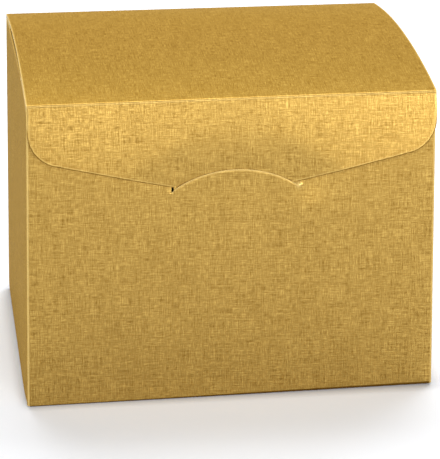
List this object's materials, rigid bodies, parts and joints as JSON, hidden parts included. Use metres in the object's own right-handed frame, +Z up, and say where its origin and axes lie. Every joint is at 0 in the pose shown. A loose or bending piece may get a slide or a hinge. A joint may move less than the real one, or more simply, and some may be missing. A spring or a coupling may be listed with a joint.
{
  "type": "favor box",
  "caption": "Folding carton favor box in embossed gold board, with a domed hinged lid whose pointed flap tucks into an arched slit in the front panel.",
  "frame": {"origin": "on the surface the box stands on, under the middle of the closed box", "axes": "+Z up, the front panel and the tuck flap face -Y, +X is on the right seen from the front"},
  "size_m": [0.12, 0.1006, 0.0967],
  "materials": {
    "gold_board": "metallic gold face with a fine linen emboss, satin",
    "glue": "dried carton glue"
  },
  "bodies": {
    "box": {"front_panel": "gold_board", "back_panel": "gold_board", "left_side_panel": "gold_board", "right_side_panel": "gold_board", "glue_tab": "gold_board", "seam_glue": "glue", "front_left_fold": "gold_board", "front_right_fold": "gold_board", "back_right_fold": "gold_board", "back_left_fold": "gold_board", "base_lock_flap": "gold_board", "base_left_flap": "gold_board", "base_right_flap": "gold_board", "base_main_flap": "gold_board", "base_front_fold": "gold_board", "base_back_fold": "gold_board", "base_left_fold": "gold_board", "base_right_fold": "gold_board"},
    "lid": {"lid_panel": "gold_board", "lid_back_crease": "gold_board"},
    "tuck_flap": {"tuck_flap": "gold_board", "lid_front_crease": "gold_board"},
    "left_dust_flap": {"left_dust_flap": "gold_board", "left_dust_crease": "gold_board"},
    "right_dust_flap": {"right_dust_flap": "gold_board", "right_dust_crease": "gold_board"}
  },
  "joints": [
    {"name": "lid_hinge", "type": "hinge", "parent": "box", "child": "lid", "pos_m": [0, 0.04975, 0.0925], "axis": [-1, 0, 0], "range_deg": [0, 120]},
    {"name": "tuck_flap_hinge", "type": "hinge", "parent": "lid", "child": "tuck_flap", "pos_m": [0, -0.04975, 0.0925], "axis": [-1, 0, 0], "range_deg": [0, 110]},
    {"name": "left_dust_flap_hinge", "type": "hinge", "parent": "box", "child": "left_dust_flap", "pos_m": [-0.0595, 0, 0.09441], "axis": [0, -1, 0], "range_deg": [0, 108]},
    {"name": "right_dust_flap_hinge", "type": "hinge", "parent": "box", "child": "right_dust_flap", "pos_m": [0.0595, 0, 0.09441], "axis": [0, 1, 0], "range_deg": [0, 108]}
  ],
  "couplings": [
    {"joint": "left_dust_flap_hinge", "follows": "lid_hinge", "ratio": 0.9},
    {"joint": "right_dust_flap_hinge", "follows": "lid_hinge", "ratio": 0.9}
  ]
}
